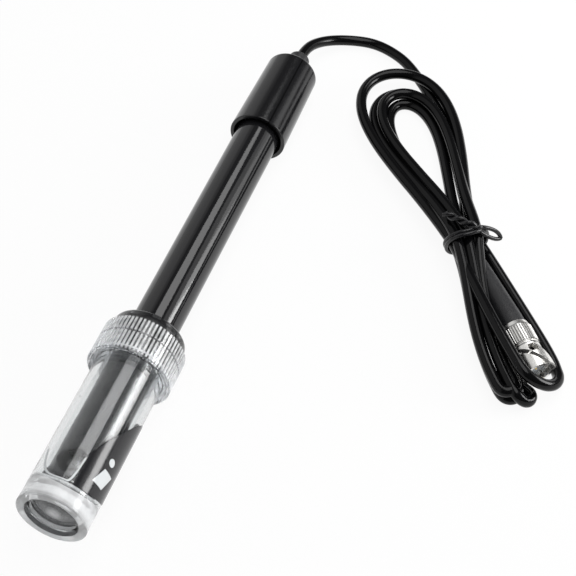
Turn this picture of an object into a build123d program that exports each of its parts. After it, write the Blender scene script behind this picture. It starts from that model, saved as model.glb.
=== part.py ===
from build123d import *
from math import asin, atan2, cos, degrees, hypot, pi, radians, sin, tan
import os

# A combination pH electrode lying on a flat surface, millimetres, +Z up.
# The probe's axis runs from the storage bottle's foot (station 0) to the cable end, mostly along +X.

# Electrode body
tube_r = 6.0
tube_wall = 1.0
tip_station = 7.0
tube_top_station = 149.0
guard_ring = 1.6
slot_length = 7.2
slot_width = 4.2
slot_count = 4
slot_turn = -15.0
tip_edge_round = 0.4

# Glass membrane stem
stem_r = 3.0
stem_wall = 0.5
bulb_r = 3.9
bulb_wall = 0.4
bulb_inset = 2.2
stem_top_inset = 14.0
stem_play = 0.05

# Seals, plugs, wires and junction
seat_length = 5.0
seat_above_slots = 2.5
junction_r = 0.6
junction_stand = 0.6
seal_length = 5.0
seal_inset = 1.0
stopper_length = 6.0
stopper_lip = 1.0
wire_r = 0.3
inner_wire_above_bulb = 1.0
reference_wire_length = 62.0
lead_r = 0.5
bond_gap = 0.02

# Head cap
cap_skirt_station = 130.0
cap_end_station = 158.6
cap_skirt_gap = 0.7
cap_skirt_wall = 1.15
cap_end_step = 1.3
cap_land_length = 8.0
cap_end_wall = 2.0
cap_end_round = 1.2
cap_rim_round = 0.25
cap_room_wall = 1.6

# Cable grommet
grommet_r = 3.0
grommet_length = 6.4
grommet_waist_r = 2.1
grommet_flange_r = 3.4
grommet_flange = 1.6
grommet_round = 0.9

# Storage bottle
vial_gap = 1.05
vial_wall = 1.55
vial_rim_station = 49.5
foot_step = 0.1
foot_height = 1.4
foot_round = 0.3
foot_rim = 2.2
floor_station = 5.0
inner_corner_r = 3.4
recess_depth = 1.1
ledge_width = 0.65
ledge_depth = 2.1
dome_rise = 0.9
neck_length = 6.6
neck_step = 0.25

# Bottle cap with its sealing ring
bottle_cap_station = 42.3
bottle_cap_length = 13.7
cap_wall = 0.65
rib_count = 64
rib_depth = 0.4
rib_width = 0.5
rib_start = 0.4
rib_length = 9.6
cap_shoulder_wall = 0.75
cap_shoulder_draft = 0.6
cap_shoulder_round = 1.2
cap_seat_gap = 0.3
cap_bore_gap = 0.85
cap_top_wall = 1.5
cap_hole_gap = 0.4
gasket_cover = 1.2
gasket_squeeze_gap = 0.06
gasket_tube_gap = 0.05
gasket_edge_gap = 0.3
gasket_groove = 0.35

# Bottle label
label_thick = 0.12
label_start = 5.2
label_neck_gap = 2.2
label_gap_angle = 14.0

# Cord
cord_r = 1.5
cord_lift = 0.1
cord_straight = 5.0
rest_gap = 0.3

# Bayonet plug, stations counted from its mouth towards its cable
plug_mouth = (-83.7, -91.5)
plug_heading = 38.7
plug_lift = 0.2
nut_length = 14.6
nut_wall = 0.65
knurl_rise = 0.35
knurl_depth = 0.16
knurl_count = 36
knurl_length = 6.7
knurl_chamfer = 0.3
band_wall = 0.5
band_width = 3.3
channel_rise = 0.3
channel_width = 2.0
channel_half_run = 1.9
channel_angle = 60.0
lock_width = 2.2
lock_round = 0.4
lock_station = 5.1
lock_wall = 0.45
nut_flange = 1.3
nut_taper = 0.3
shank_step = 0.1
shank_play = 0.15
contact_r = 2.4
contact_gap = 0.65
contact_wall = 0.35
contact_inset = 1.0
contact_slot = 0.4
contact_slot_length = 4.5
collar_station = 9.4
collar_length = 2.2
collar_play = 0.1
shank_end = 18.0
crimp_step = 0.4
crimp_stem_length = 4.0
core_bore_r = 0.8
insulator_inset = 0.8
insulator_length = 7.0
pin_r = 0.35
pin_inset = 0.4
pin_tail_r = 0.6
pin_tail_length = 4.2
gasket_ring = 0.9
washer_gap = 0.05
washer_thick = 0.25
washer_sag = 0.6
thrust_thick = 0.6
ferrule_wall = 0.45
ferrule_length = 5.0
boot_wall = 0.9
boot_end_wall = 0.6
boot_length = 22.0
boot_straight = 2.4
boot_play = 0.1
boot_end_round = 0.4

# Hank and its tie
hank_edge_round = 1.4
waist_centre = (-48.0, -62.6)
waist_heading = 34.0
waist_width = 11.2
waist_length = 8.0
waist_round = 2.6
pile_length = 40.0
pile_slack = 0.6
plug_room = 0.4
tie_r = 0.85
tie_gap = 0.05
tie_tail_drop = 0.9
tie_tail_bend = 2.0

os.makedirs("parts", exist_ok=True)

# The bottle is sized from the tube that goes into it, and its cap from the bottle's neck.
cavity_r = tube_r + vial_gap
vial_r = cavity_r + vial_wall
foot_r = vial_r + foot_step
recess_r = foot_r - foot_rim
ledge_r = recess_r - ledge_width
neck_r = vial_r + neck_step
cap_bore_r = neck_r + cap_bore_gap
valley_r = cap_bore_r + cap_wall
rib_r = valley_r + rib_depth
gasket_r = cavity_r + gasket_cover
gasket_room_r = gasket_r + gasket_edge_gap
cap_shoulder_r = gasket_room_r + cap_shoulder_wall

# The head cap is sized from the tube as well.
skirt_inner_r = tube_r + cap_skirt_gap
cap_mouth_r = skirt_inner_r + cap_skirt_wall
cap_end_r = tube_r + cap_end_step

# The plug's round parts are sized from its contact sleeve outwards.
shank_r = contact_r - shank_step
crimp_stem_r = shank_r - crimp_step
nut_bore_r = contact_r + contact_gap
nut_r = nut_bore_r + nut_wall
knurl_r = nut_r + knurl_rise
channel_r = nut_r + channel_rise
band_r = channel_r + band_wall
plug_axis_height = band_r + plug_lift

# The cord lies on the surface, and the hank is two turns high, three at its waist.
cord_rest = cord_r + cord_lift
hank_height = 4 * cord_r + 2 * cord_lift
pile_height = 6 * cord_r + pile_slack

# The probe rests on the bottle cap's last rib end and on the head cap's rounded end, which sets its tilt.
rib_end_station = bottle_cap_station + rib_start + rib_length
reach = cap_end_station - cap_end_round - rib_end_station
drop = rib_r - (cap_end_r - cap_end_round)
tilt = atan2(drop, reach) - asin(cap_end_round / hypot(reach, drop))
axis_dir = Vector(cos(tilt), 0, -sin(tilt))
up_dir = Vector(sin(tilt), 0, cos(tilt))
boss_end_station = cap_end_station + grommet_length

# The frame's origin is on the surface, halfway along the probe.
low_x = -foot_r * sin(tilt)
high_x = boss_end_station * cos(tilt)
foot_point = Vector(-(low_x + high_x) / 2, 0, rib_r * cos(tilt) + rib_end_station * sin(tilt))
exit_point = foot_point + axis_dir * boss_end_station
probe_axis = Axis(foot_point, axis_dir)
profile_plane = Plane(origin=foot_point, x_dir=axis_dir, z_dir=(0, -1, 0))


def station(distance):
    """Plane square to the probe's axis, a distance from the bottle's foot."""
    return Plane(origin=foot_point + axis_dir * distance, x_dir=up_dir, z_dir=axis_dir)


def cord_frame(point):
    """A point given from the cable's exit in plan and from the surface in height."""
    return Vector(exit_point.X + point[0], point[1], point[2])


def finish(part, name):
    """Labels a sub-part and writes its file."""
    part.label = name
    export_step(part, f"parts/{name}.step")


# Electrode body: one moulded tube whose slotted end guards the glass bulb
slot_station = tip_station + guard_ring + slot_length / 2
with BuildPart() as body_tube:
    with BuildSketch(profile_plane):
        with BuildLine():
            Polyline(
                (tip_station, tube_r - tube_wall),
                (tip_station, tube_r),
                (tube_top_station, tube_r),
                (tube_top_station, tube_r - tube_wall),
                close=True,
            )
        make_face()
        fillet(vertices().group_by(Axis.X)[0], tip_edge_round)
    revolve(axis=probe_axis)
    for index in range(slot_count // 2):
        turn = slot_turn + index * 360 / slot_count
        slot_plane = station(slot_station).rotated((0, 0, turn)) * Plane.YZ
        with BuildSketch(slot_plane):
            SlotOverall(slot_length, slot_width, rotation=90)
        extrude(amount=tube_r * 2, both=True, mode=Mode.SUBTRACT)
finish(body_tube.part, "body_tube")

# Glass stem: blown bulb on a straight tube, open at the top
bulb_centre = tip_station + bulb_inset + bulb_r
stem_top = tube_top_station - stem_top_inset
neck_offset = (bulb_r**2 - stem_r**2) ** 0.5
inner_bulb_r = bulb_r - bulb_wall
inner_stem_r = stem_r - stem_wall
inner_neck_offset = (inner_bulb_r**2 - inner_stem_r**2) ** 0.5
with BuildPart() as glass_stem:
    with BuildSketch(profile_plane):
        with BuildLine():
            ThreePointArc(
                (bulb_centre - bulb_r, 0),
                (bulb_centre, bulb_r),
                (bulb_centre + neck_offset, stem_r),
            )
            Polyline(
                (bulb_centre + neck_offset, stem_r),
                (stem_top, stem_r),
                (stem_top, inner_stem_r),
                (bulb_centre + inner_neck_offset, inner_stem_r),
            )
            ThreePointArc(
                (bulb_centre + inner_neck_offset, inner_stem_r),
                (bulb_centre, inner_bulb_r),
                (bulb_centre - inner_bulb_r, 0),
            )
            Line((bulb_centre - inner_bulb_r, 0), (bulb_centre - bulb_r, 0))
        make_face()
    revolve(axis=probe_axis)
finish(glass_stem.part, "glass_stem")

# Seat that closes the tube round the stem, with a hole for the porous junction
seat_station = tip_station + guard_ring + slot_length + seat_above_slots
seat_outer_r = tube_r - tube_wall - bond_gap
seat_inner_r = stem_r + stem_play
junction_ring_r = (seat_outer_r + seat_inner_r) / 2
with BuildPart() as stem_seat:
    with BuildSketch(station(seat_station)):
        Circle(seat_outer_r)
        Circle(seat_inner_r, mode=Mode.SUBTRACT)
        with Locations((junction_ring_r, 0)):
            Circle(junction_r + bond_gap, mode=Mode.SUBTRACT)
    extrude(amount=seat_length)
finish(stem_seat.part, "stem_seat")

with BuildPart() as junction_pin:
    with BuildSketch(station(seat_station - junction_stand)):
        with Locations((junction_ring_r, 0)):
            Circle(junction_r)
    extrude(amount=seat_length + junction_stand)
finish(junction_pin.part, "junction_pin")

# Seal at the tube's top, round the stem, with a hole for the reference lead
seal_station = stem_top - stopper_lip - seal_length - seal_inset
with BuildPart() as top_seal:
    with BuildSketch(station(seal_station)):
        Circle(seat_outer_r)
        Circle(seat_inner_r, mode=Mode.SUBTRACT)
        with Locations((-junction_ring_r, 0)):
            Circle(wire_r + bond_gap, mode=Mode.SUBTRACT)
    extrude(amount=seal_length)
finish(top_seal.part, "top_seal")

# Stopper in the stem's open end: its lip sits on the glass and the inner wire passes through it
with BuildPart() as stem_stopper:
    with BuildSketch(profile_plane):
        with BuildLine():
            Polyline(
                (stem_top - stopper_length, wire_r + bond_gap),
                (stem_top - stopper_length, inner_stem_r - bond_gap),
                (stem_top + bond_gap, inner_stem_r - bond_gap),
                (stem_top + bond_gap, stem_r),
                (stem_top + stopper_lip, stem_r),
                (stem_top + stopper_lip, wire_r + bond_gap),
                close=True,
            )
        make_face()
    revolve(axis=probe_axis)
finish(stem_stopper.part, "stem_stopper")

# Inner wire on the axis, from just above the bulb to the stopper's top
inner_wire_start = bulb_centre + inner_wire_above_bulb
lead_start = stem_top + stopper_lip + bond_gap
with BuildPart() as inner_wire:
    with BuildSketch(station(inner_wire_start)):
        Circle(wire_r)
    extrude(amount=stem_top + stopper_lip - inner_wire_start)
finish(inner_wire.part, "inner_wire")

# Reference wire in the outer chamber, held by the top seal
reference_end = seal_station + seal_length
with BuildPart() as reference_wire:
    with BuildSketch(station(reference_end - reference_wire_length)):
        with Locations((-junction_ring_r, 0)):
            Circle(wire_r)
    extrude(amount=reference_wire_length)
finish(reference_wire.part, "reference_wire")

# Head cap: drafted skirt over the tube, a land that grips it and a room for the joints
land_r = tube_r + bond_gap
land_station = tube_top_station - cap_land_length
room_end = cap_end_station - cap_end_wall
room_r = cap_end_r - cap_room_wall
grommet_hole_r = grommet_waist_r + bond_gap
with BuildPart() as head_cap:
    with BuildSketch(profile_plane):
        with BuildLine():
            Polyline(
                (cap_skirt_station, skirt_inner_r),
                (cap_skirt_station, cap_mouth_r),
                (cap_end_station, cap_end_r),
                (cap_end_station, grommet_hole_r),
                (room_end, grommet_hole_r),
                (room_end, room_r),
                (tube_top_station, room_r),
                (tube_top_station, land_r),
                (land_station, land_r),
                (land_station, skirt_inner_r),
                close=True,
            )
        make_face()
        fillet(vertices().group_by(Axis.X)[-1].sort_by(Axis.Y)[-1], cap_end_round)
        fillet(vertices().group_by(Axis.X)[0], cap_rim_round)
    revolve(axis=probe_axis)
finish(head_cap.part, "head_cap")

# Grommet moulded on the cable: boss outside, waist in the cap's end wall, flange inside
flange_end = room_end - bond_gap
with BuildPart() as cable_grommet:
    with BuildSketch(profile_plane):
        with BuildLine():
            Polyline(
                (flange_end - grommet_flange, 0),
                (flange_end - grommet_flange, grommet_flange_r),
                (flange_end, grommet_flange_r),
                (flange_end, grommet_waist_r),
                (cap_end_station + bond_gap, grommet_waist_r),
                (cap_end_station + bond_gap, grommet_r),
                (boss_end_station, grommet_r),
                (boss_end_station, 0),
                close=True,
            )
        make_face()
        fillet(vertices().group_by(Axis.X)[-1].sort_by(Axis.Y)[-1], grommet_round)
    revolve(axis=probe_axis)
finish(cable_grommet.part, "cable_grommet")

# The cable's two cores inside the head: one to the inner wire, one to the reference wire
core_end = flange_end - grommet_flange - bond_gap
with BuildPart() as signal_lead:
    with BuildSketch(station(lead_start)):
        Circle(lead_r)
    extrude(amount=core_end - lead_start)
finish(signal_lead.part, "signal_lead")

reference_path = [
    foot_point + axis_dir * (reference_end + bond_gap) - up_dir * junction_ring_r,
    foot_point + axis_dir * (stem_top + stopper_lip + lead_r * 4) - up_dir * junction_ring_r,
    foot_point + axis_dir * (core_end - lead_r * 8) - up_dir * lead_r * 4,
    foot_point + axis_dir * core_end - up_dir * lead_r * 4,
]
with BuildPart() as reference_lead:
    with BuildLine():
        FilletPolyline(*reference_path, radius=lead_r * 4)
    with BuildSketch(Plane(origin=reference_path[0], x_dir=up_dir, z_dir=axis_dir)):
        Circle(lead_r)
    sweep()
finish(reference_lead.part, "reference_lead")

# Storage bottle: foot with a recess, U-shaped cavity, plain wall and a neck that takes the cap
neck_station = vial_rim_station - neck_length
label_length = neck_station - label_start - label_neck_gap
with BuildPart() as vial:
    with BuildSketch(profile_plane):
        with BuildLine():
            Polyline(
                (ledge_depth, ledge_r),
                (recess_depth, ledge_r),
                (recess_depth, recess_r),
                (0, recess_r),
                (0, foot_r),
                (foot_height, foot_r),
                (foot_height, vial_r),
                (neck_station, vial_r),
                (neck_station, neck_r),
                (vial_rim_station, neck_r),
                (vial_rim_station, cavity_r),
                (floor_station + inner_corner_r, cavity_r),
            )
            RadiusArc(
                (floor_station + inner_corner_r, cavity_r),
                (floor_station, cavity_r - inner_corner_r),
                -inner_corner_r,
            )
            Polyline(
                (floor_station, cavity_r - inner_corner_r),
                (floor_station, 0),
                (ledge_depth - dome_rise, 0),
            )
            dome_radius = (ledge_r**2 + dome_rise**2) / (2 * dome_rise)
            RadiusArc((ledge_depth - dome_rise, 0), (ledge_depth, ledge_r), dome_radius)
        make_face()
        fillet(vertices().group_by(Axis.X)[0].sort_by(Axis.Y)[-1], foot_round)
    revolve(axis=probe_axis)
finish(vial.part, "vial")

# Sealing ring: grips the tube and closes the bottle's rim
gasket_start = vial_rim_station + gasket_squeeze_gap
bottle_cap_end = bottle_cap_station + bottle_cap_length
gasket_end = bottle_cap_end - cap_top_wall - gasket_squeeze_gap
gasket_inner_r = tube_r + gasket_tube_gap
gasket_middle = (gasket_start + gasket_end) / 2
with BuildPart() as cap_gasket:
    with BuildSketch(profile_plane):
        with BuildLine():
            Polyline(
                (gasket_start, gasket_inner_r),
                (gasket_start, gasket_r),
                (gasket_middle - gasket_groove, gasket_r),
                (gasket_middle, gasket_r - gasket_groove),
                (gasket_middle + gasket_groove, gasket_r),
                (gasket_end, gasket_r),
                (gasket_end, gasket_inner_r),
                close=True,
            )
        make_face()
    revolve(axis=probe_axis)
finish(cap_gasket.part, "cap_gasket")

# Bottle cap: ribbed skirt, rounded shoulder and a hole that clears the tube
hole_r = tube_r + cap_hole_gap
with BuildPart() as vial_cap:
    with BuildSketch(profile_plane):
        with BuildLine():
            Polyline(
                (bottle_cap_station, cap_bore_r),
                (bottle_cap_station, valley_r),
                (rib_end_station, valley_r),
                (rib_end_station, cap_shoulder_r + cap_shoulder_draft),
                (bottle_cap_end, cap_shoulder_r),
                (bottle_cap_end, hole_r),
                (bottle_cap_end - cap_top_wall, hole_r),
                (bottle_cap_end - cap_top_wall, gasket_room_r),
                (vial_rim_station + cap_seat_gap, gasket_room_r),
                (vial_rim_station + cap_seat_gap, cap_bore_r),
                close=True,
            )
        make_face()
        fillet(vertices().group_by(Axis.X)[-1].sort_by(Axis.Y)[-1], cap_shoulder_round)
    revolve(axis=probe_axis)
    with BuildSketch(station(bottle_cap_station + rib_start)):
        with PolarLocations(rib_r - rib_depth, rib_count, start_angle=180):
            Rectangle(rib_depth * 2, rib_width)
    extrude(amount=rib_length)
finish(vial_cap.part, "vial_cap")

# Label: a clear printed film round the bottle, its ends a little apart
with BuildPart() as vial_label:
    with BuildSketch(station(label_start)):
        Circle(vial_r + bond_gap + label_thick)
        Circle(vial_r + bond_gap, mode=Mode.SUBTRACT)
        gap_half = vial_r * 2 * tan(radians(label_gap_angle / 2))
        with Locations((-vial_r, 0)):
            Rectangle(vial_r * 2, gap_half, mode=Mode.SUBTRACT)
    extrude(amount=label_length)
finish(vial_label.part, "vial_label")

# Plug: its own axis, level, from the mouth back towards the cable
mouth_point = cord_frame((*plug_mouth, plug_axis_height))
plug_dir = Vector(cos(radians(plug_heading)), sin(radians(plug_heading)), 0)
plug_axis = Axis(mouth_point, plug_dir)
plug_profile = Plane(origin=mouth_point, x_dir=plug_dir, z_dir=plug_dir.cross(Vector(0, 0, 1)))


def plug_station(distance):
    """Plane square to the plug's axis, a distance behind its mouth."""
    return Plane(origin=mouth_point + plug_dir * distance, x_dir=(0, 0, 1), z_dir=plug_dir)


# Bayonet bands and channels: slanted bars that run back from the mouth, held to a round outside
nut_step = nut_length - knurl_length
bar_reach = lock_station + lock_width / 2 + lock_wall


def slanted_bar(width, from_station, to_station):
    """Outline of a bar that leans across the nut as it runs from one station to another."""
    lean = channel_half_run / lock_station
    start = (from_station, -channel_half_run + from_station * 2 * lean)
    end = (to_station, -channel_half_run + to_station * 2 * lean)
    Polyline(
        (start[0], start[1] - width / 2),
        (end[0], end[1] - width / 2),
        (end[0], end[1] + width / 2),
        (start[0], start[1] + width / 2),
        close=True,
    )


def bar_plane(index):
    """Plane through the plug's axis that faces one of the two bayonet bands."""
    side = Vector(0, 0, 1).cross(plug_dir)
    angle = radians(channel_angle + 180 * index)
    normal = side * -cos(angle) + Vector(0, 0, 1) * sin(angle)
    return Plane(origin=mouth_point, x_dir=plug_dir, z_dir=normal)


with BuildPart() as bayonet_bands:
    for index in range(2):
        with BuildSketch(bar_plane(index)):
            with BuildLine():
                slanted_bar(band_width, 0, bar_reach)
            make_face()
        extrude(amount=band_r)
    with BuildSketch(plug_station(0)):
        Circle(band_r)
        Circle(nut_bore_r, mode=Mode.SUBTRACT)
    extrude(amount=nut_step, mode=Mode.INTERSECT)

with BuildPart() as bayonet_channels:
    for index in range(2):
        with BuildSketch(bar_plane(index)):
            with BuildLine():
                slanted_bar(channel_width, -lock_width / 2, lock_station)
            make_face()
        extrude(amount=band_r)
    with BuildSketch(plug_station(-lock_width / 2)):
        Circle(channel_r)
        Circle(nut_bore_r - bond_gap, mode=Mode.SUBTRACT)
    extrude(amount=nut_step + lock_width / 2, mode=Mode.INTERSECT)

# Coupling nut: knurled grip, bayonet sleeve with two covered channels and their lock holes
with BuildPart() as coupling_nut:
    with BuildSketch(plug_profile):
        with BuildLine():
            Polyline(
                (0, nut_bore_r),
                (0, nut_r),
                (nut_step, nut_r),
                (nut_step, knurl_r - knurl_depth),
                (nut_length - nut_flange, knurl_r - knurl_depth),
                (nut_length, knurl_r - knurl_depth - nut_taper),
                (nut_length, shank_r + shank_play),
                (nut_length - nut_flange, shank_r + shank_play),
                (nut_length - nut_flange, nut_bore_r),
                close=True,
            )
        make_face()
    revolve(axis=plug_axis)
    with BuildSketch(plug_station(nut_step + knurl_chamfer)):
        Circle(knurl_r)
        with PolarLocations(knurl_r, knurl_count):
            Rectangle(knurl_depth * 2, knurl_depth * 2, rotation=45, mode=Mode.SUBTRACT)
        Circle(nut_bore_r, mode=Mode.SUBTRACT)
    extrude(amount=knurl_length - knurl_chamfer * 2 - nut_flange)
    add(bayonet_bands.part)
    add(bayonet_channels.part, mode=Mode.SUBTRACT)
    for index in range(2):
        with BuildSketch(bar_plane(index)):
            with Locations((lock_station, channel_half_run)):
                RectangleRounded(lock_width, lock_width, lock_round)
        extrude(amount=band_r + lock_width, mode=Mode.SUBTRACT)
finish(coupling_nut.part, "coupling_nut")

# Plug body: slotted contact sleeve, collar, shank and the stem that the braid is crimped on
contact_bore_r = contact_r - contact_wall
collar_r = nut_bore_r - collar_play
core_station = contact_inset + insulator_inset + insulator_length
crimp_end = shank_end + crimp_stem_length
with BuildPart() as plug_body:
    with BuildSketch(plug_profile):
        with BuildLine():
            Polyline(
                (contact_inset, contact_bore_r),
                (contact_inset, contact_r),
                (collar_station, contact_r),
                (collar_station, collar_r),
                (collar_station + collar_length, collar_r),
                (collar_station + collar_length, shank_r),
                (shank_end, shank_r),
                (shank_end, crimp_stem_r),
                (crimp_end, crimp_stem_r),
                (crimp_end, core_bore_r),
                (core_station, core_bore_r),
                (core_station, contact_bore_r),
                close=True,
            )
        make_face()
    revolve(axis=plug_axis)
    with BuildSketch(plug_station(contact_inset)):
        for turn in (45, 135):
            Rectangle(contact_slot, contact_r * 3, rotation=turn)
    extrude(amount=contact_slot_length, mode=Mode.SUBTRACT)
finish(plug_body.part, "plug_body")

# Insulator round the centre pin
with BuildPart() as plug_insulator:
    with BuildSketch(plug_station(contact_inset + insulator_inset)):
        Circle(contact_bore_r - bond_gap)
        Circle(pin_r + bond_gap, mode=Mode.SUBTRACT)
    extrude(amount=insulator_length - bond_gap)
finish(plug_insulator.part, "plug_insulator")

with BuildPart() as centre_pin:
    with BuildSketch(plug_profile):
        with BuildLine():
            Polyline(
                (contact_inset + pin_inset, 0),
                (contact_inset + pin_inset, pin_r / 2),
                (contact_inset + pin_inset + pin_r, pin_r),
                (core_station, pin_r),
                (core_station, pin_tail_r),
                (core_station + pin_tail_length, pin_tail_r),
                (core_station + pin_tail_length, 0),
                close=True,
            )
        make_face()
    revolve(axis=plug_axis)
finish(centre_pin.part, "centre_pin")

# Face gasket in front of the collar
with BuildPart() as plug_gasket:
    with BuildSketch(plug_station(collar_station - gasket_ring - bond_gap)):
        Circle(collar_r)
        Circle(contact_r + bond_gap, mode=Mode.SUBTRACT)
    extrude(amount=gasket_ring)
finish(plug_gasket.part, "plug_gasket")

# Bowed spring washer and flat thrust washer between the collar and the nut's flange
washer_outer_r = nut_bore_r - collar_play
washer_inner_r = shank_r + washer_gap
spring_station = collar_station + collar_length + washer_gap
bow_r = (washer_outer_r**2 + washer_sag**2) / (2 * washer_sag)
with BuildPart() as spring_washer:
    with BuildSketch(plug_profile):
        with Locations((spring_station + bow_r, 0)):
            Circle(bow_r)
            Circle(bow_r - washer_thick, mode=Mode.SUBTRACT)
    extrude(amount=washer_outer_r, both=True)
    with BuildSketch(plug_station(spring_station)):
        Circle(washer_outer_r)
        Circle(washer_inner_r, mode=Mode.SUBTRACT)
    extrude(amount=washer_sag + washer_thick * 2, mode=Mode.INTERSECT)
finish(spring_washer.part, "spring_washer")

thrust_station = nut_length - nut_flange - washer_gap - thrust_thick
with BuildPart() as thrust_washer:
    with BuildSketch(plug_station(thrust_station)):
        Circle(washer_outer_r)
        Circle(washer_inner_r, mode=Mode.SUBTRACT)
    extrude(amount=thrust_thick)
finish(thrust_washer.part, "thrust_washer")

# Crimp ferrule round the stem, under the boot
ferrule_inner_r = crimp_stem_r + washer_gap
ferrule_r = ferrule_inner_r + ferrule_wall
boot_r = ferrule_r + boot_wall
boot_end_r = cord_r + boot_end_wall
with BuildPart() as crimp_ferrule:
    with BuildSketch(plug_station(shank_end + bond_gap)):
        Circle(ferrule_r)
        Circle(ferrule_inner_r, mode=Mode.SUBTRACT)
    extrude(amount=ferrule_length)
finish(crimp_ferrule.part, "crimp_ferrule")

# Boot: tapered strain relief over the ferrule and the cable
boot_station = nut_length + rest_gap
boot_end = boot_station + boot_length
boot_room_r = max(ferrule_r, shank_r) + bond_gap
boot_room_end = shank_end + ferrule_length + boot_play
with BuildPart() as plug_boot:
    with BuildSketch(plug_profile):
        with BuildLine():
            Polyline(
                (boot_station, boot_room_r),
                (boot_station, boot_r),
                (boot_station + boot_straight, boot_r),
                (boot_end, boot_end_r),
                (boot_end, cord_r),
                (boot_room_end, cord_r),
                (boot_room_end, boot_room_r),
                close=True,
            )
        make_face()
        fillet(vertices().group_by(Axis.X)[-1].sort_by(Axis.Y)[-1], boot_end_round)
    revolve(axis=plug_axis)
finish(plug_boot.part, "plug_boot")

# Cord: the stretch from the grommet down to the surface and round to the hank
lead_route = [
    (0.0, 0.0, exit_point.Z),
    (cord_straight, 0.0, exit_point.Z - cord_straight * tan(tilt)),
    (12.5, -2.6, 3 * cord_rest),
    (17.9, -9.0, 1.5 * cord_rest),
    (19.1, -17.0, cord_rest),
    (16.2, -25.0, cord_rest),
    (12.0, -30.4, cord_rest),
]
route = [cord_frame(point) for point in lead_route]
runs = [after - before for before, after in zip(route, route[1:])]
radii = [
    0.45 * min(first.length, second.length) / tan(radians(first.get_angle(second)) / 2)
    for first, second in zip(runs, runs[1:])
]
print("cord radii", [round(radius, 1) for radius in radii])
with BuildPart() as cable_lead:
    with BuildLine() as lead_line:
        FilletPolyline(*route, radius=radii)
    with BuildSketch(Plane(origin=route[0], z_dir=runs[0])):
        Circle(cord_r)
    sweep()
lead_length = lead_line.wires()[0].length
print("cord stretch", round(lead_length, 1), "mm, volume", round(cable_lead.part.volume, 1))
print("section times length", round(pi * cord_r**2 * lead_length, 1))
finish(cable_lead.part, "cable_lead")

# Hank: the outer shape of the tied turns, a wide loop, a waist and a narrow end round the plug
hank_outline = [
    (-47.4, -55.5),
    (-36.9, -44.5),
    (-25.9, -31.5),
    (-14.9, -23.3),
    (-2.9, -19.7),
    (6.6, -22.0),
    (10.4, -29.0),
    (8.6, -37.5),
    (0.1, -46.0),
    (-12.9, -53.5),
    (-28.9, -60.0),
    (-40.4, -66.5),
    (-52.9, -75.0),
    (-62.9, -84.0),
    (-71.9, -92.6),
    (-79.9, -97.6),
    (-86.4, -97.2),
    (-91.4, -93.2),
    (-93.4, -87.0),
    (-88.9, -79.0),
    (-78.9, -71.0),
    (-65.9, -65.0),
    (-54.9, -60.0),
]
loop_hole = [
    (-32.4, -50.5),
    (-25.9, -41.5),
    (-16.9, -34.5),
    (-9.9, -32.0),
    (-5.4, -35.0),
    (-7.9, -40.5),
    (-16.9, -45.5),
    (-25.9, -49.0),
]
waist_dir = Vector(cos(radians(waist_heading)), sin(radians(waist_heading)), 0)
waist_point = cord_frame((*waist_centre, 0))
waist_plane = Plane(origin=waist_point, x_dir=waist_dir, z_dir=(0, 0, 1))
waist_lift = 2 * tie_r + tie_gap
waist_middle = (waist_lift + pile_height) / 2
tie_plane = Plane(origin=waist_point + Vector(0, 0, waist_middle), x_dir=(0, 0, 1), z_dir=waist_dir)
plug_plan = Plane(origin=(mouth_point.X, mouth_point.Y, 0), x_dir=plug_dir, z_dir=(0, 0, 1))
nut_room_r = band_r + plug_room
boot_room = boot_r + plug_room
with BuildPart() as waist_pile:
    with BuildSketch(waist_plane):
        SlotOverall(pile_length, waist_width)
    extrude(amount=pile_height)
    fillet(waist_pile.faces().sort_by(Axis.Z)[-1].edges(), hank_edge_round)

with BuildPart() as cable_hank:
    with BuildSketch():
        with BuildLine():
            Spline(*[cord_frame((*point, 0)) for point in hank_outline], periodic=True)
        make_face()
        with BuildLine():
            Spline(*[cord_frame((*point, 0)) for point in loop_hole], periodic=True)
        make_face(mode=Mode.SUBTRACT)
    extrude(amount=hank_height)
    fillet(cable_hank.faces().sort_by(Axis.Z)[-1].edges(), hank_edge_round)
    add(waist_pile.part)
    with BuildSketch(tie_plane):
        Rectangle(pile_height * 3, waist_width * 3)
        RectangleRounded(pile_height - waist_lift, waist_width, waist_round, mode=Mode.SUBTRACT)
    extrude(amount=waist_length / 2, both=True, mode=Mode.SUBTRACT)
    with BuildSketch(plug_plan):
        with Locations((boot_station / 2, 0)):
            Rectangle(boot_station + nut_room_r, nut_room_r * 2)
        with Locations(((boot_end + boot_station) / 2, 0)):
            Rectangle(boot_length, boot_room * 2)
    extrude(amount=pile_height, mode=Mode.SUBTRACT)
finish(cable_hank.part, "cable_hank")

# Twist tie: a coated wire round the waist with its twisted ends laid over the turns
tie_half_wide = waist_width / 2 + tie_gap + tie_r
tie_half_high = waist_middle - waist_lift + tie_gap + tie_r
tail_height = waist_middle + tie_half_high + tie_tail_drop
tail_route = [
    (-46.3, -55.8, tail_height - tie_r),
    (-47.8, -61.4, tail_height),
    (-48.6, -66.6, tail_height),
    (-47.6, -69.8, tail_height - 2 * tie_r),
    (-46.2, -71.8, tail_height - 5 * tie_r),
]
with BuildPart() as twist_tie:
    with BuildLine(tie_plane) as tie_line:
        FilletPolyline(
            (tie_half_high, tie_half_wide),
            (-tie_half_high, tie_half_wide),
            (-tie_half_high, -tie_half_wide),
            (tie_half_high, -tie_half_wide),
            radius=waist_round + tie_gap + tie_r,
            close=True,
        )
    with BuildSketch(Plane(origin=tie_line.wires()[0] @ 0, z_dir=tie_line.wires()[0] % 0)):
        Circle(tie_r)
    sweep()
    with BuildLine() as tail_line:
        FilletPolyline(*[cord_frame(point) for point in tail_route], radius=tie_tail_bend)
    with BuildSketch(Plane(origin=tail_line.wires()[0] @ 0, z_dir=tail_line.wires()[0] % 0)):
        Circle(tie_r)
    sweep()
finish(twist_tie.part, "twist_tie")

print("tilt", round(degrees(tilt), 3), "foot", foot_point, "exit", exit_point)
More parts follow.
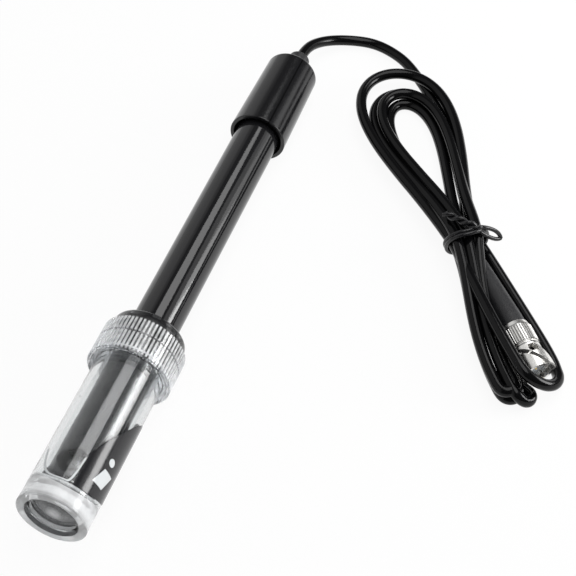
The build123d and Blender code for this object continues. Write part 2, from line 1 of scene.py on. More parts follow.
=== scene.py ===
from math import asin, atan2, cos, hypot, pi, radians, sin, tan

import bpy
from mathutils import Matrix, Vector


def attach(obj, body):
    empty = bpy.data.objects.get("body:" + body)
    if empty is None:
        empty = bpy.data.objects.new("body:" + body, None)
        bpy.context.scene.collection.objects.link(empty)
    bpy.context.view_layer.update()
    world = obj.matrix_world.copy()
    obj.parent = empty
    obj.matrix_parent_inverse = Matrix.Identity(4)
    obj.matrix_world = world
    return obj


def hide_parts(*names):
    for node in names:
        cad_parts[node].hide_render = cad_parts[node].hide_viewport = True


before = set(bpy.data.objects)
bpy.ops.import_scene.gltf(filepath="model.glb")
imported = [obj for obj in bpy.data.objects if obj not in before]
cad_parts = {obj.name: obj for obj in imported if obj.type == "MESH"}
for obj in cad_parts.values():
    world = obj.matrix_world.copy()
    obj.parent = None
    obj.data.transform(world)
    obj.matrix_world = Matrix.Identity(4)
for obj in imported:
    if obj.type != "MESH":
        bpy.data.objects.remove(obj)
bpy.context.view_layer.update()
MM = 0.001

# The probe's own line, worked out as in the CAD source: it rests on the cap's last rib and on the head's round end
RIB_END, RIB_R = 52.3, 10.75
HEAD_END, HEAD_END_R, HEAD_ROUND = 158.6, 7.3, 1.2
FOOT_R = 8.7
BOSS_END = 165.0
TILT_REACH = HEAD_END - HEAD_ROUND - RIB_END
DROP = RIB_R - (HEAD_END_R - HEAD_ROUND)
TILT = atan2(DROP, TILT_REACH) - asin(HEAD_ROUND / hypot(TILT_REACH, DROP))
AXIS = Vector((cos(TILT), 0, -sin(TILT)))
UP = Vector((sin(TILT), 0, cos(TILT)))
SIDE = Vector((0, 1, 0))
FOOT = Vector((-(BOSS_END * cos(TILT) - FOOT_R * sin(TILT)) / 2, 0, RIB_R * cos(TILT) + RIB_END * sin(TILT)))
EXIT = FOOT + AXIS * BOSS_END

# The plug's line, from its mouth towards its cable
MOUTH = (-83.7, -91.5)
PLUG_WAY = radians(38.7)
PLUG_Z = 4.7
PLUG = Vector((cos(PLUG_WAY), sin(PLUG_WAY), 0))
PLUG_SIDE = Vector((-sin(PLUG_WAY), cos(PLUG_WAY), 0))
PLUG_MOUTH = Vector((EXIT.x + MOUTH[0], MOUTH[1], PLUG_Z))


def row(points):
    """Points from the cable's exit in plan and the floor in height, mm, as row-frame metres."""
    return [Vector((EXIT.x + x, y, z)) * MM for x, y, z in points]


def new_material(name, color, rough, **sockets):
    """A material of one colour and roughness, for a Net to work on."""
    material = bpy.data.materials.new(name)
    material.use_nodes = True
    shader = material.node_tree.nodes["Principled BSDF"]
    shader.inputs["Base Color"].default_value = (*color, 1)
    shader.inputs["Roughness"].default_value = rough
    for key, value in sockets.items():
        shader.inputs[key.replace("_", " ")].default_value = value
    return material


class Net:
    """Short ways to add shader nodes to a material."""

    def __init__(self, material):
        self.tree = material.node_tree
        self.shader = self.tree.nodes["Principled BSDF"]
        self.coords = self.tree.nodes.new("ShaderNodeTexCoord").outputs["Object"]

    def add(self, kind, **inputs):
        node = self.tree.nodes.new(kind)
        for key, value in inputs.items():
            self.put(node.inputs[key.replace("_", " ")], value)
        return node

    def put(self, socket, value):
        if isinstance(value, bpy.types.NodeSocket):
            self.tree.links.new(value, socket)
        else:
            socket.default_value = value

    def math(self, operation, *values):
        node = self.tree.nodes.new("ShaderNodeMath")
        node.operation = operation
        for socket, value in zip(node.inputs, values):
            self.put(socket, value)
        return node.outputs[0]

    def dot(self, vector):
        node = self.tree.nodes.new("ShaderNodeVectorMath")
        node.operation = "DOT_PRODUCT"
        self.put(node.inputs[0], self.coords)
        node.inputs[1].default_value = vector
        return node.outputs["Value"]

    def noise(self, scale, detail=3.0, rough=0.5):
        node = self.add("ShaderNodeTexNoise", Scale=scale, Detail=detail, Roughness=rough)
        self.tree.links.new(self.coords, node.inputs["Vector"])
        return node.outputs["Fac"]

    def range(self, value, low, high, to_low=0.0, to_high=1.0):
        node = self.tree.nodes.new("ShaderNodeMapRange")
        for socket, item in zip(node.inputs, (value, low, high, to_low, to_high)):
            self.put(socket, item)
        return node.outputs["Result"]

    def mix(self, factor, first, second):
        node = self.tree.nodes.new("ShaderNodeMix")
        node.data_type = "RGBA"
        self.put(node.inputs[0], factor)
        for socket, item in ((node.inputs[6], first), (node.inputs[7], second)):
            self.put(socket, item if isinstance(item, bpy.types.NodeSocket) else (*item, 1))
        return node.outputs[2]

    def bump(self, height, strength, distance):
        node = self.add("ShaderNodeBump", Strength=strength, Distance=distance, Height=height)
        self.tree.links.new(node.outputs["Normal"], self.shader.inputs["Normal"])

    def out(self, name, value):
        self.put(self.shader.inputs[name], value)


def station_of(net):
    """Distance along the probe from the bottle's foot, in mm."""
    value = net.dot(AXIS)
    return net.math("MULTIPLY", net.math("SUBTRACT", value, AXIS.dot(FOOT) * MM), 1 / MM)


def angle_of(net):
    """Angle round the probe from its top, in degrees, positive towards +Y."""
    high = net.math("SUBTRACT", net.dot(UP), UP.dot(FOOT) * MM)
    return net.math("DEGREES", net.math("ARCTAN2", net.dot(SIDE), high))


def radius_of(net):
    """Distance from the probe's axis, in mm."""
    high = net.math("SUBTRACT", net.dot(UP), UP.dot(FOOT) * MM)
    side = net.dot(SIDE)
    square = net.math("ADD", net.math("MULTIPLY", high, high), net.math("MULTIPLY", side, side))
    return net.math("MULTIPLY", net.math("SQRT", square), 1 / MM)


def product(net, *values):
    """Several shader values multiplied."""
    made = values[0]
    for value in values[1:]:
        made = net.math("MULTIPLY", made, value)
    return made


def moulded(name, color, rough, wave=0.12, grain=0.05, **sockets):
    """Moulded plastic: slow waviness in the gloss, fine grain and a little dust."""
    material = new_material(name, color, rough, **sockets)
    net = Net(material)
    slow = net.noise(90, 2)
    fine = net.noise(2600, 2)
    both = net.math("ADD", net.math("MULTIPLY", slow, wave), net.math("MULTIPLY", fine, grain))
    net.bump(both, 0.35, 0.0004)
    net.out("Roughness", net.range(net.noise(420, 4, 0.6), 0.35, 0.75, rough * 0.8, rough * 1.35))
    return material, net


def clear(name, tint, rough, ior=1.49, wave=0.2):
    """Clear moulded plastic that lets most light through to what stands behind it."""
    material = new_material(name, tint, rough, IOR=ior, Transmission_Weight=1.0)
    net = Net(material)
    net.bump(net.noise(160, 2), wave, 0.0002)
    path = net.tree.nodes.new("ShaderNodeLightPath")
    join(net, path.outputs["Is Shadow Ray"], net.shader.outputs[0], passing(net, (0.86, 0.87, 0.88)), True)
    return material, net


def passing(net, color):
    """Light that goes straight through, tinted."""
    node = net.tree.nodes.new("ShaderNodeBsdfTransparent")
    net.put(node.inputs["Color"], color if isinstance(color, bpy.types.NodeSocket) else (*color, 1))
    return node.outputs[0]


def join(net, share, first, second, last=False):
    """Two surfaces mixed; the last one made is the material's own."""
    mixer = net.tree.nodes.new("ShaderNodeMixShader")
    for socket, value in zip(mixer.inputs, (share, first, second)):
        net.put(socket, value)
    if last:
        net.put(net.tree.nodes["Material Output"].inputs["Surface"], mixer.outputs[0])
        net.last = mixer
    return mixer.outputs[0]


def cover(net, share, color, rough):
    """A frosted or milky skin, or a painted shade or painted highlight, over a share of a clear material."""
    skin = net.add("ShaderNodeBsdfPrincipled", Roughness=rough)
    net.put(skin.inputs["Base Color"], color if isinstance(color, bpy.types.NodeSocket) else (*color, 1))
    under = net.last.inputs[1].links[0].from_socket
    net.put(net.last.inputs[1], join(net, share, under, skin.outputs[0]))


tube_black = moulded("tube_black", (0.008, 0.008, 0.009), 0.06, Specular_IOR_Level=0.55)[0]
grommet_black = moulded("grommet_black", (0.02, 0.02, 0.022), 0.4, grain=0.3)[0]
boot_rubber = moulded("boot_rubber", (0.011, 0.011, 0.0125), 0.5, grain=0.5)[0]
cable_black = moulded("cable_black", (0.003, 0.003, 0.0034), 0.11, grain=0.1, Specular_IOR_Level=0.2)[0]
tie_black = moulded("tie_black", (0.008, 0.008, 0.009), 0.25, grain=0.3, Specular_IOR_Level=0.4)[0]
seal_dark = moulded("seal_dark", (0.012, 0.012, 0.013), 0.3, grain=0.3)[0]

# Head: a dark mould line along it, beside its top
SEAM_ANGLE = -27.0
HEAD_COLOR = (0.007, 0.007, 0.008)
head_black, net = moulded("head_black", HEAD_COLOR, 0.13, grain=0.12)
seam = net.range(net.math("ABSOLUTE", net.math("SUBTRACT", angle_of(net), SEAM_ANGLE)), 1.6, 0.6)
net.out("Base Color", net.mix(seam, HEAD_COLOR, (0.001, 0.001, 0.001)))
net.out("Specular IOR Level", net.range(seam, 0, 1, 0.5, 0.1))

# Print and frosted band: angle of the print's edge, in degrees, and the span over which their curved border rises
PRINT_EDGE, SKIRT_SPAN = -24.0, 69.0


def skirt_of(net, turn, low, rise):
    """Station of a curved border round the bottle's foot, lowest at the print's edge."""
    square = net.math("POWER", net.math("DIVIDE", net.math("SUBTRACT", turn, PRINT_EDGE), SKIRT_SPAN), 2.0)
    return net.math("ADD", low, net.math("MULTIPLY", square, rise))


# Bottle: frosted above the foot and milky on the foot's face; its dome has a painted highlight in the middle and
# painted shade round it, and two dark rings of painted shade lie at the edges of the face and the dome.
# Its radii are those of the foot's face, the dome, the cavity and the outside, in mm.
FACE_R, DOME_R, CAVITY_R, OUTSIDE_R = 6.5, 5.78, 7.3, 7.9
DOME_DEPTH, RING_DEPTH = 3.2, 2.4
bottle_clear, net = clear("bottle_clear", (0.93, 0.945, 0.95), 0.03)
station, radius = station_of(net), radius_of(net)
skirt_end = net.math("MINIMUM", skirt_of(net, angle_of(net), 4.2, 2.4), 6.6)
frosted = product(
    net, net.range(station, 0.2, 0.4), net.range(net.math("SUBTRACT", skirt_end, station), 0.0, 0.15),
    net.range(radius, OUTSIDE_R, OUTSIDE_R + 0.3), 0.6,
)
face = product(net, net.range(station, 0.35, 0.2), net.range(radius, FACE_R, FACE_R + 0.3), 0.55)
dome = product(
    net, net.range(station, DOME_DEPTH + 0.4, DOME_DEPTH), net.range(radius, DOME_R - 0.08, DOME_R - 0.28), 0.86
)
grain = net.range(net.noise(500, 4, 0.6), 0.3, 0.7, 0.85, 1.0)
cover(net, product(net, frosted, grain), (0.9, 0.91, 0.92), 0.4)
cover(net, product(net, face, grain), (0.92, 0.93, 0.94), 0.2)
# Painted highlight and painted shade: the dome is pale in its middle, fading to dark towards its edge.
dome_shade_share = net.range(net.math("ADD", radius, net.noise(500, 3)), 0.5, 2.9)
cover(net, dome, net.mix(dome_shade_share, (0.7, 0.71, 0.72), (0.025, 0.025, 0.028)), 0.2)
# Painted shade: two dark rings at the edges of the foot's face and of the dome.
for ring_r, half in ((FACE_R, 0.1), (DOME_R, 0.12)):
    line = net.range(net.math("ABSOLUTE", net.math("SUBTRACT", radius, ring_r)), half, half / 3)
    cover(net, product(net, line, net.range(station, RING_DEPTH + 0.2, RING_DEPTH), 0.9), (0.02, 0.02, 0.022), 0.2)
drops = net.add("ShaderNodeTexVoronoi", Scale=330.0)
net.tree.links.new(net.coords, drops.inputs["Vector"])
rare = net.math("GREATER_THAN", net.noise(150, 1), 0.6)
bead = product(net, net.range(drops.outputs["Distance"], 0.22, 0.12), rare, net.range(radius, CAVITY_R, CAVITY_R - 0.1))
height = net.math("ADD", net.math("MULTIPLY", bead, 1.0), net.math("MULTIPLY", net.noise(160, 2), 0.25))
net.bump(height, 0.5, 0.0003)

# Bottle cap: rib crests painted pale as a painted highlight over dark grooves, two thread lines that show through,
# painted as a line of painted shade and a painted highlight, and a plain shoulder painted dark with painted shade where
# the dark ring shows through. Stations and radii in mm.
RIBS_FROM, RIBS_TO, GROOVE_R = 42.5, RIB_END + 0.1, 10.2
THREAD_LOW, THREAD_HIGH = 43.4, 47.6
CAP_TINT = (0.92, 0.93, 0.94)
cap_clear, net = clear("cap_clear", CAP_TINT, 0.05, wave=0.35)
station, radius = station_of(net), radius_of(net)
on_ribs = product(net, net.range(station, RIBS_FROM, RIBS_FROM + 0.3), net.range(station, RIBS_TO, RIBS_TO - 0.3))
outside = net.range(radius, GROOVE_R, GROOVE_R + 0.1)
thread = net.math("MULTIPLY", net.noise(60, 1), 1.2)
lower = net.math("ABSOLUTE", net.math("SUBTRACT", station, net.math("ADD", THREAD_LOW, thread)))
upper = net.math("ABSOLUTE", net.math("SUBTRACT", station, net.math("ADD", THREAD_HIGH, thread)))
inner = net.range(radius, GROOVE_R - 0.1, GROOVE_R - 0.2)
across = net.range(upper, 0.35, 0.15, 1.0, 0.25)
crest_highlight = product(net, net.range(radius, GROOVE_R + 0.2, GROOVE_R + 0.4), on_ribs, across)
net.out("Base Color", net.mix(product(net, outside, on_ribs), CAP_TINT, (0.6, 0.61, 0.62)))
# Painted shade along the upper thread line and a painted highlight along the lower one, where the threads show through.
cover(net, product(net, net.range(upper, 0.3, 0.15), inner, 0.85), (0.03, 0.03, 0.03), 0.2)
cover(net, product(net, net.range(lower, 0.35, 0.15), inner, 0.8), (0.85, 0.86, 0.87), 0.2)
# Painted highlight: the rib crests are painted pale, broken up by noise.
glint = net.range(net.noise(700, 3), 0.35, 0.65, 0.45, 0.8)
cover(net, product(net, crest_highlight, glint), (0.86, 0.87, 0.88), 0.12)
# Painted shade: the shoulder's outside and the wall round the gasket are painted dark where the dark ring shows
# through.
gasket_room_shade = product(net, net.range(radius, 8.75, 8.65), net.range(station, 49.6, 49.8), net.range(station, 54.8, 54.6))
shoulder_shade = product(net, net.range(radius, 8.3, 8.5), net.range(station, 53.4, 54.0), net.range(station, 55.75, 55.6))
cover(net, product(net, shoulder_shade, 0.75), (0.012, 0.012, 0.013), 0.12)
cover(net, product(net, gasket_room_shade, 0.97), (0.006, 0.006, 0.007), 0.3)
bulb_glass = clear("bulb_glass", (0.97, 0.98, 0.98), 0.0, 1.5, 0.02)[0]

# Plug metal: painted shade darkens the knurl's grooves and the turned grooves, with the metal's brighter, warmer colour
# between them; places in mm from the mouth
KNURL_FROM, KNURL_TO, TURNED = 7.9, 13.3, (7.35, 13.35)
nickel = new_material("nickel", (0.86, 0.85, 0.82), 0.3, Metallic=1.0)
net = Net(nickel)
plug_along = net.math("MULTIPLY", net.math("SUBTRACT", net.dot(PLUG), PLUG.dot(PLUG_MOUTH) * MM), 1 / MM)
plug_side = net.math("SUBTRACT", net.dot(PLUG_SIDE), PLUG_SIDE.dot(PLUG_MOUTH) * MM)
plug_high = net.math("SUBTRACT", net.dot(Vector((0, 0, 1))), PLUG_MOUTH.z * MM)
plug_r = net.math("MULTIPLY", net.math("SQRT", net.math(
    "ADD", net.math("MULTIPLY", plug_side, plug_side), net.math("MULTIPLY", plug_high, plug_high),
)), 1 / MM)
knurled = product(
    net, net.range(plug_along, KNURL_FROM, KNURL_FROM + 0.2), net.range(plug_along, KNURL_TO, KNURL_TO - 0.2)
)
groove = product(net, net.range(plug_r, 4.01, 3.93), net.range(plug_r, 3.6, 3.7), knurled)
near, far = (
    net.range(net.math("ABSOLUTE", net.math("SUBTRACT", plug_along, place)), half, half / 2)
    for place, half in zip(TURNED, (0.3, 0.2))
)
turned = net.math("MAXIMUM", near, far)
# Painted shade in the knurl's groove bottoms and in the two turned grooves.
painted_groove_shade = net.math("MAXIMUM", product(net, groove, 0.72), product(net, turned, 0.75))
net.out("Base Color", net.mix(painted_groove_shade, (0.9, 0.89, 0.865), (0.12, 0.12, 0.12)))
net.out("Roughness", net.range(net.noise(900, 4, 0.6), 0.3, 0.8, 0.24, 0.42))
net.bump(net.noise(1800, 3), 0.1, 0.0002)
gold = new_material("gold", (0.83, 0.62, 0.26), 0.2, Metallic=1.0)
steel = new_material("steel", (0.6, 0.6, 0.6), 0.3, Metallic=1.0)
for metal, smoothest in ((gold, 0.15), (steel, 0.25)):
    net = Net(metal)
    net.out("Roughness", net.range(net.noise(900, 4, 0.6), 0.3, 0.8, smoothest, smoothest + 0.15))
insulator_white = moulded("insulator_white", (0.82, 0.87, 0.92), 0.35)[0]
potting = moulded("potting", (0.04, 0.04, 0.045), 0.5)[0]
ceramic_white = moulded("ceramic_white", (0.8, 0.78, 0.74), 0.7, grain=0.6)[0]
core_grey = moulded("core_grey", (0.5, 0.5, 0.5), 0.4)[0]

looks = {
    "body_tube": tube_black, "head_cap": head_black, "glass_stem": bulb_glass,
    "stem_seat": potting, "top_seal": potting, "stem_stopper": potting,
    "junction_pin": ceramic_white, "inner_wire": steel, "reference_wire": steel,
    "signal_lead": core_grey, "reference_lead": core_grey, "cable_grommet": grommet_black,
    "vial": bottle_clear, "vial_cap": cap_clear, "cap_gasket": seal_dark,
    "coupling_nut": nickel, "plug_body": nickel, "centre_pin": gold,
    "plug_insulator": insulator_white, "plug_gasket": seal_dark, "spring_washer": steel,
    "thrust_washer": steel, "crimp_ferrule": nickel, "plug_boot": boot_rubber,
}

# Printed film: a dark field with a curved edge and two plain pale shapes, the rest clear.
# The field's upper edge falls from its far edge towards its near edge; angles in degrees, stations in mm.
PRINT_BEHIND, PRINT_FAR_EDGE, PRINT_SPAN = 148.0, -102.0, 77.0
PRINT_TOP, PRINT_FALL = 31.0, 17.0
BLOCK_FROM, BLOCK_TO, BLOCK_LEAN = 8.9, 13.6, 2.5
DOT_ANGLE, DOT_STATION, DOT_R = -66.0, 16.0, 1.05
MM_A_DEGREE = 0.15
label_print = new_material("label_print", (0.02, 0.02, 0.022), 0.16)
net = Net(label_print)
net.bump(net.noise(300, 2), 0.1, 0.0003)
station, angle = station_of(net), angle_of(net)
behind = net.math("GREATER_THAN", angle, PRINT_BEHIND)
turn = net.math("SUBTRACT", angle, net.math("MULTIPLY", behind, 360.0))
edge = net.math("DIVIDE", net.math("SUBTRACT", turn, PRINT_FAR_EDGE), PRINT_SPAN)
edge = net.math("POWER", net.math("MAXIMUM", edge, 0.0), 1.6)
top = net.math("SUBTRACT", PRINT_TOP, net.math("MULTIPLY", edge, PRINT_FALL))
bottom = skirt_of(net, turn, 5.2, 2.2)
field = product(
    net, net.range(net.math("SUBTRACT", top, station), -0.05, 0.05),
    net.range(net.math("SUBTRACT", station, bottom), 0.0, 0.15),
    net.range(turn, PRINT_EDGE, PRINT_EDGE - 1.0),
)
pale_across = net.math("ADD", turn, net.math("MULTIPLY", net.math("SUBTRACT", station, 11.0), BLOCK_LEAN))
block = product(
    net, net.range(station, BLOCK_FROM, BLOCK_FROM + 0.2), net.range(station, BLOCK_TO, BLOCK_TO - 0.2),
    net.range(pale_across, -52.0, -53.0), net.range(pale_across, -77.0, -76.0),
)
dot_far = net.math(
    "SQRT",
    net.math(
        "ADD",
        net.math("POWER", net.math("MULTIPLY", net.math("SUBTRACT", turn, DOT_ANGLE), MM_A_DEGREE), 2.0),
        net.math("POWER", net.math("SUBTRACT", station, DOT_STATION), 2.0),
    ),
)
pale = net.math("MAXIMUM", block, net.range(dot_far, DOT_R, DOT_R - 0.1))
# A painted highlight: a pale line painted on the film round its clear window, level at its foot and rising steeply at
# both sides. Each side has the angle where it starts, its span, the power and the rise of its curve, and its slope at
# the end of the span.
RIM_FOOT, RIM_HALF = 5.5, 0.24
rim, rim_half = RIM_FOOT, RIM_HALF
for start, span, power, rise, slope in ((-5.0, 38.0, 3.4, 3.1, 1.84), (-9.0, -11.0, 5.2, 1.9, 5.95)):
    reach = net.math("MAXIMUM", net.math("DIVIDE", net.math("SUBTRACT", turn, start), span), 0.0)
    rim = net.math("ADD", rim, net.math("MULTIPLY", net.math("POWER", reach, power), rise))
    widening = net.math("MULTIPLY", net.math("POWER", reach, power - 1.0), slope * RIM_HALF)
    rim_half = net.math("ADD", rim_half, widening)
off_rim = net.math("DIVIDE", net.math("ABSOLUTE", net.math("SUBTRACT", station, rim)), rim_half)
window_highlight = product(
    net, net.range(off_rim, 1.0, 0.6), net.range(station, 13.5, 12.5), net.range(turn, 49.0, 48.0), 0.92
)
pale = net.math("MAXIMUM", pale, window_highlight)
net.out("Base Color", net.mix(pale, (0.014, 0.014, 0.016), (0.72, 0.75, 0.76)))
net.out("Alpha", net.math("MAXIMUM", net.math("ADD", 0.05, net.math("MULTIPLY", field, 0.93)), window_highlight))
looks["vial_label"] = label_print

for node, material in looks.items():
    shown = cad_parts[node]
    shown.data.materials.clear()
    shown.data.materials.append(material)

# Cable: its radius, its height where it lies on the floor, and the hank's waist, ways, rows and cells, in mm
CORD_R = 1.5
FLOOR_Z = 1.6
WAIST = (-48.0, -62.6)
LOOP_WAY, FOLD_WAY = radians(33.4), radians(221.4)
ROW_1, ROW_2, ROW_3 = 3.1, 5.6, 8.1
CELLS = {
    "R3": (-3.75, ROW_1), "R0": (-0.75, ROW_1), "L0": (2.25, ROW_1),
    "R4": (-2.25, ROW_2), "R1": (0.75, ROW_2), "L3": (3.75, ROW_2),
    "R2": (-3.1, ROW_3), "L2": (-0.1, ROW_3), "L1": (2.9, ROW_3),
}


def hank_point(way, along, across, height):
    """A point of the hank from its waist; positive across is the left side seen from the waist's top."""
    side = (-sin(way), cos(way)) if way == LOOP_WAY else (sin(way), -cos(way))
    return (
        WAIST[0] + along * cos(way) + across * side[0],
        WAIST[1] + along * sin(way) + across * side[1],
        height,
    )


def waist_point(cell):
    """A cell of the waist, as a list of one point."""
    return [hank_point(LOOP_WAY, 0, *CELLS[cell])]


def plug_point(distance, height):
    """A point on the plug's axis, a distance behind its mouth."""
    return (MOUTH[0] + distance * cos(PLUG_WAY), MOUTH[1] + distance * sin(PLUG_WAY), height)


def loop(start, end, reach, dome_shade_share, left, right, height, power=1.5, count=14):
    """One turn of the wide end, from one waist cell round to another."""
    (b0, z0), (b1, z1) = CELLS[start], CELLS[end]
    made = []
    for index in range(1, count):
        s, c = sin(pi * index / count), cos(pi * index / count)
        share = (1 - c) / 2
        to_left = c if start[0] == "L" else -c
        wide = left if to_left > 0 else right
        across = (b0 * (1 - share) + b1 * share) * (1 - s) + dome_shade_share * s + to_left * wide * s**power
        level = height + (z0 * (1 - share) + z1 * share - height) * (1 - s) ** 1.5
        made.append(hank_point(LOOP_WAY, reach * s, across, level))
    return made


def fold(start, end, reach, neck, right, left, heights, powers=(1.0, 1.4), legs=6, arc=5):
    """One turn of the narrow end: down its right leg, round the tip and back up its left leg."""
    (b0, z0), (b1, z1) = CELLS[start], CELLS[end]
    z_right, z_tip, z_left = heights
    radius, dome_shade_share = (left - right) / 2, (left + right) / 2
    made = []
    steps = [index / legs for index in range(1, legs)] + [0.95]
    for x in steps:
        ease = sin(pi * x / 2)
        across = b0 + (neck - b0) * ease ** powers[0] + (right - neck) * x**15
        made.append(hank_point(FOLD_WAY, (reach - radius) * x, across, z0 + (z_right - z0) * ease))
    for index in range(arc + 1):
        s, c = sin(pi * index / arc), cos(pi * index / arc)
        level = z_tip + ((z_right if c > 0 else z_left) - z_tip) * abs(c)
        made.append(hank_point(FOLD_WAY, reach - radius + radius * s, dome_shade_share - radius * c, level))
    for x in reversed(steps):
        ease = sin(pi * x / 2)
        across = b1 + (left - b1) * ease ** powers[1]
        made.append(hank_point(FOLD_WAY, (reach - radius) * x, across, z1 + (z_left - z1) * ease))
    return made


lead = [
    (0.0, 0.0, EXIT.z), (5.0, 0.0, EXIT.z - 5.0 * tan(TILT)), (12.3, -2.8, 4.2), (17.6, -9.3, 2.0),
    (19.1, -17.0, FLOOR_Z), (16.2, -25.0, FLOOR_Z), (12.0, -30.4, FLOOR_Z),
]
into_hank = [
    hank_point(LOOP_WAY, 57, -7.8, FLOOR_Z), hank_point(LOOP_WAY, 44, -9.4, FLOOR_Z),
    hank_point(LOOP_WAY, 30, -8.6, 1.7), hank_point(LOOP_WAY, 17, -5.6, 2.0),
    hank_point(LOOP_WAY, 8, -2.8, 2.6),
]
# Folds have their reach, neck, right and left sides and their heights there; loops their reach, middle, left, right
# and height. The cells that each one joins come first.
turns = [
    waist_point("R0"), fold("R0", "L0", 48.6, 7.2, 7.2, 12.0, (1.6, 1.6, 1.6)),
    waist_point("L0"), loop("L0", "R1", 55.2, 1.0, 14.0, 14.6, 1.6),
    waist_point("R1"), fold("R1", "L2", 50.9, 7.4, 5.1, 9.9, (1.6, 1.8, 4.6), (1.0, 1.2)),
    waist_point("L2"), loop("L2", "R2", 57.2, 1.3, 19.0, 17.6, 4.0),
    waist_point("R2"), fold("R2", "L1", 48.0, 8.3, 8.3, 12.8, (4.5, 4.5, 4.3)),
    waist_point("L1"), loop("L1", "R3", 59.6, 1.5, 22.0, 20.0, 1.6),
    waist_point("R3"), fold("R3", "L3", 50.0, -4.7, -3.9, 7.0, (1.6, 4.6, 8.6), (0.8, 1.2), arc=7),
    waist_point("L3"), loop("L3", "R4", 65.5, 2.0, 26.0, 26.5, 4.2, power=1.3),
    waist_point("R4"),
]
into_boot = [plug_point(42.0, 5.0), plug_point(39.0, PLUG_Z), plug_point(36.5, PLUG_Z), plug_point(32.0, PLUG_Z)]
route = lead + into_hank + [point for turn in turns for point in turn] + into_boot


def curve_piece(name, lines, radius, resolution=4, smooth=8, cyclic=False):
    """A round strand or several along smooth lines, in one curve object."""
    data = bpy.data.curves.new(name, "CURVE")
    data.dimensions = "3D"
    data.bevel_depth, data.bevel_resolution, data.use_fill_caps = radius * MM, resolution, True
    data.resolution_u = smooth
    for points in lines:
        spline = data.splines.new("NURBS")
        spline.points.add(len(points) - 1)
        for target, point in zip(spline.points, row(points)):
            target.co = (*point, 1)
        spline.use_cyclic_u = cyclic
        spline.order_u = 3
        spline.use_endpoint_u = not cyclic
    piece = bpy.data.objects.new(name, data)
    bpy.context.scene.collection.objects.link(piece)
    return piece


cable = curve_piece("cable", [route], CORD_R, 6, 8)
cable.data.materials.append(cable_black)
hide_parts("cable_lead", "cable_hank")
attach(cable, "electrode")


def eased(points, steps):
    """A smooth line through a few points, as many points."""
    ends = [points[0] * 2 - points[1], *points, points[-1] * 2 - points[-2]]
    made = []
    for a, b, c, d in zip(ends, ends[1:], ends[2:], ends[3:]):
        for index in range(steps):
            t = index / steps
            made.append(
                (b * 2 + (c - a) * t + (a * 2 - b * 5 + c * 4 - d) * t**2 + (b * 3 - a - c * 3 + d) * t**3) / 2
            )
    return made + [points[-1]]


# Wire tie: a double strand round the waist, its ends twisted over the turns into a small loop. The ring's points
# are across the waist, up and along; the tail is twisted over a share of its length and opens by the last value.
TIE_R = 0.56
TWISTED, TWISTS, OPENING = 0.62, 1.85, 0.5
ring = [
    (5.6, 5.0, -0.9), (5.1, 8.0, -1.8), (3.2, 10.4, -2.7), (0.0, 11.0, -3.2), (-3.2, 10.4, -2.0),
    (-5.5, 7.8, -0.8), (-6.1, 4.0, 0.0), (-5.4, 1.2, 0.0), (-3.0, 0.62, 0.0), (0.0, 0.62, 0.0),
    (2.6, 0.7, -0.3), (4.7, 2.2, -0.6),
]
strands = [[hank_point(LOOP_WAY, along + side * TIE_R, across, z) for across, z, along in ring] for side in (-1, 1)]
tail = eased([
    Vector((-46.3, -56.2, 10.4)), Vector((-47.3, -59.7, 10.8)), Vector((-48.3, -63.0, 11.2)),
    Vector((-48.5, -66.2, 10.6)), Vector((-47.1, -69.2, 8.5)), Vector((-45.7, -71.6, 6.1)),
], 12)
twists = []
for phase in (0.0, pi):
    line = []
    for index, centre in enumerate(tail):
        t = index / (len(tail) - 1)
        ahead = (tail[min(index + 1, len(tail) - 1)] - tail[max(index - 1, 0)]).normalized()
        flat = ahead.cross(Vector((0, 0, 1))).normalized()
        over = flat.cross(ahead)
        open_share = max(0.0, (t - TWISTED) / (1 - TWISTED))
        turned = phase + 2 * pi * TWISTS * min(t, TWISTED) / TWISTED
        out = TIE_R + OPENING * sin(pi * open_share) ** 0.6 - TIE_R * open_share**6
        line.append(tuple(centre + (flat * cos(turned) + over * sin(turned)) * out))
    twists.append(line)
tie = curve_piece("tie", strands, TIE_R, 4, 6, cyclic=True)
tie_tail = curve_piece("tie_tail", twists, TIE_R, 4, 4)
for piece in (tie, tie_tail):
    piece.data.materials.append(tie_black)
    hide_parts("twist_tie")
    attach(piece, "electrode")

# Studio: the floor's own glow where it is only background, and the room's level for all other light
GLOW_SHARE, PLAIN_LEVEL = 0.93, 0.3
scene = bpy.context.scene
scene.view_settings.view_transform = "Standard"


def seen_straight(net):
    """1 for rays that look at the background, directly, in a reflection or through clear plastic."""
    path = net.tree.nodes.new("ShaderNodeLightPath")
    near = net.math("MAXIMUM", path.outputs["Is Camera Ray"], path.outputs["Is Glossy Ray"])
    return net.math("MAXIMUM", near, path.outputs["Is Transmission Ray"])


ground = bpy.data.meshes.new("floor")
ground.from_pydata([(-3, -3, 0), (3, -3, 0), (3, 3, 0), (-3, 3, 0)], [], [(0, 1, 2, 3)])
floor = bpy.data.objects.new("floor", ground)
scene.collection.objects.link(floor)
paper = new_material("paper", (0.9, 0.9, 0.9), 0.9)
net = Net(paper)
net.bump(net.noise(700, 3), 0.05, 0.0002)
net.out("Base Color", net.mix(net.noise(6, 2), (0.9, 0.9, 0.9), (0.93, 0.93, 0.93)))
glow = net.tree.nodes.new("ShaderNodeEmission")
glow.inputs["Strength"].default_value = 1.0
adder = net.tree.nodes.new("ShaderNodeMixShader")
net.put(adder.inputs[0], net.math("MULTIPLY", seen_straight(net), GLOW_SHARE))
net.put(adder.inputs[1], net.shader.outputs[0])
net.put(adder.inputs[2], glow.outputs[0])
net.put(net.tree.nodes["Material Output"].inputs["Surface"], adder.outputs[0])
floor.data.materials.append(paper)

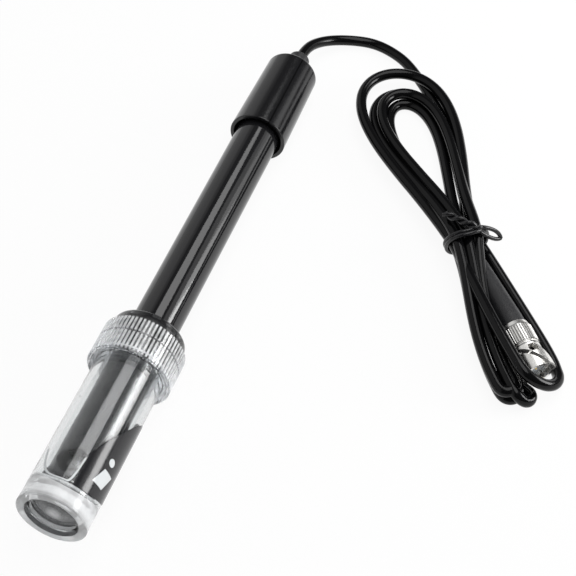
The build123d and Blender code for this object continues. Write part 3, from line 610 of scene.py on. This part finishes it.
# The room: white where the camera or clear plastic looks, darker overhead and in front in reflections
world = bpy.data.worlds.new("studio")
scene.world = world
world.use_nodes = True
sky = world.node_tree
back = sky.nodes["Background"]
back.inputs["Color"].default_value = (1, 1, 1, 1)
path = sky.nodes.new("ShaderNodeLightPath")
split = sky.nodes.new("ShaderNodeSeparateXYZ")
sky.links.new(sky.nodes.new("ShaderNodeTexCoord").outputs["Generated"], split.inputs[0])
side_wall = sky.nodes.new("ShaderNodeMapRange")
for name, value in (("From Min", 0.3), ("From Max", 0.5), ("To Min", 0.1), ("To Max", 0.65)):
    side_wall.inputs[name].default_value = value
sky.links.new(split.outputs["Y"], side_wall.inputs["Value"])
levels = [("Is Glossy Ray", side_wall.outputs["Result"]), ("Is Camera Ray", 1.0), ("Is Transmission Ray", 1.0)]
strength = PLAIN_LEVEL
for ray, high_level in levels:
    pick = sky.nodes.new("ShaderNodeMix")
    pick.data_type = "FLOAT"
    sky.links.new(path.outputs[ray], pick.inputs[0])
    for socket, value in ((pick.inputs[2], strength), (pick.inputs[3], high_level)):
        if isinstance(value, float):
            socket.default_value = value
        else:
            sky.links.new(value, socket)
    strength = pick.outputs[0]
sky.links.new(strength, back.inputs["Strength"])


def lamp(name, shape, place, aim, size, radiance):
    """A soft lamp of a given brightness; its size is its width and its length."""
    data = bpy.data.lights.new(name, "AREA")
    data.shape = shape
    data.size, data.size_y = size
    area = size[0] * size[1] * (pi / 4 if shape == "ELLIPSE" else 1)
    data.energy = radiance * pi * area
    made = bpy.data.objects.new(name, data)
    made.location = place
    made.rotation_euler = (Vector(aim) - Vector(place)).to_track_quat("-Z", "Y").to_euler()
    scene.collection.objects.link(made)


lamp("overhead", "ELLIPSE", (0.25, -0.13, 0.6), (0.25, -0.13, 0.0), (0.86, 0.44), 3.0)
# The front lamp fades towards the cable's end of the probe, with a weak one behind it: place, size and radiance
for index, (x, y, z, width, tall, radiance) in enumerate((
    (0.19, -0.45, 0.155, 0.22, 0.17, 10.0), (0.333, -0.415, 0.155, 0.06, 0.17, 3.3),
    (0.388, -0.395, 0.155, 0.05, 0.17, 1.1), (0.46, -0.375, 0.155, 0.1, 0.17, 0.4),
    (0.33, -0.52, 0.27, 0.5, 0.36, 0.75),
)):
    lamp(f"front_{index}", "RECTANGLE", (x, y, z), (x - 0.345, y + 0.41, 0.01), (width, tall), radiance)

camera = bpy.data.objects.new("camera", bpy.data.cameras.new("camera"))
scene.collection.objects.link(camera)
scene.camera = camera
camera.data.lens = 98.79
camera.data.sensor_width = 36.0
camera.data.clip_start = 0.01
camera.location = Vector((-235.47, -111.17, 316.30)) * MM
aim = Vector((0.90, -25.83, 8.0)) * MM
camera.rotation_euler = (aim - camera.location).to_track_quat("-Z", "Y").to_euler()
